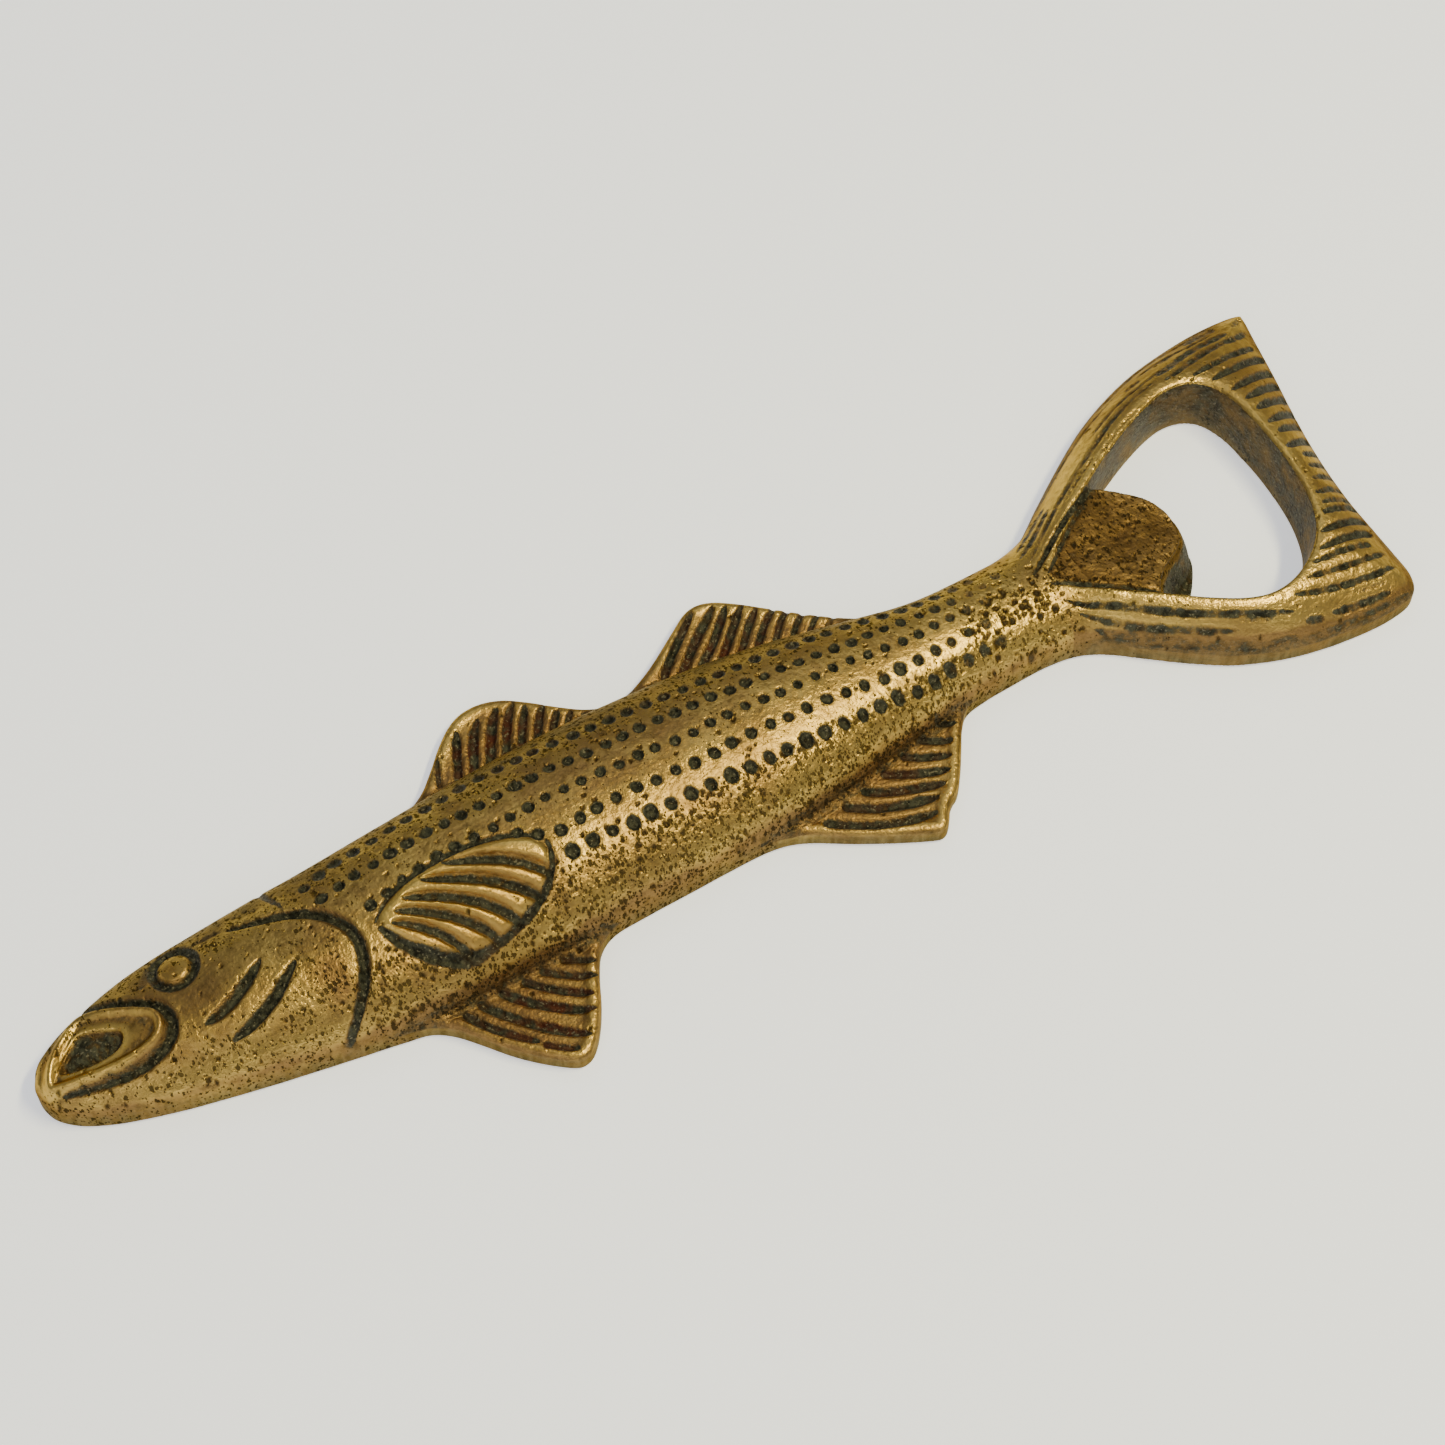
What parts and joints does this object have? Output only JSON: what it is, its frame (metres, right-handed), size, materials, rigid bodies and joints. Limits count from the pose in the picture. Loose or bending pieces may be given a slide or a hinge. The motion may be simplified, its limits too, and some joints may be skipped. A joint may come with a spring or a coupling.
{
  "type": "bottle opener",
  "caption": "Fish-shaped antique brass bottle opener: slim dotted body with fins on a flat back, forked tail closing into a loop with a cap lifter inside.",
  "frame": {"origin": "middle of the flat back, under the centre of the object's box", "axes": "+X from the snout to the tail, +Y towards the dorsal side, +Z out of the decorated face"},
  "size_m": [0.1999, 0.059, 0.0133],
  "materials": {
    "cast_brass": "antique patina, as cast, dark in the hollows",
    "polished_brass": "rubbed bright on the high spots",
    "rough_brass": "rough as cast, brown patina"
  },
  "bodies": {
    "root": {"head": "cast_brass", "mouth_lip": "polished_brass", "eye": "polished_brass", "body": "cast_brass", "pectoral_fin": "polished_brass", "first_dorsal_fin": "cast_brass", "second_dorsal_fin": "cast_brass", "pelvic_fin": "cast_brass", "anal_fin": "cast_brass", "tail_loop": "cast_brass", "cap_lifter": "rough_brass"}
  },
  "joints": []
}
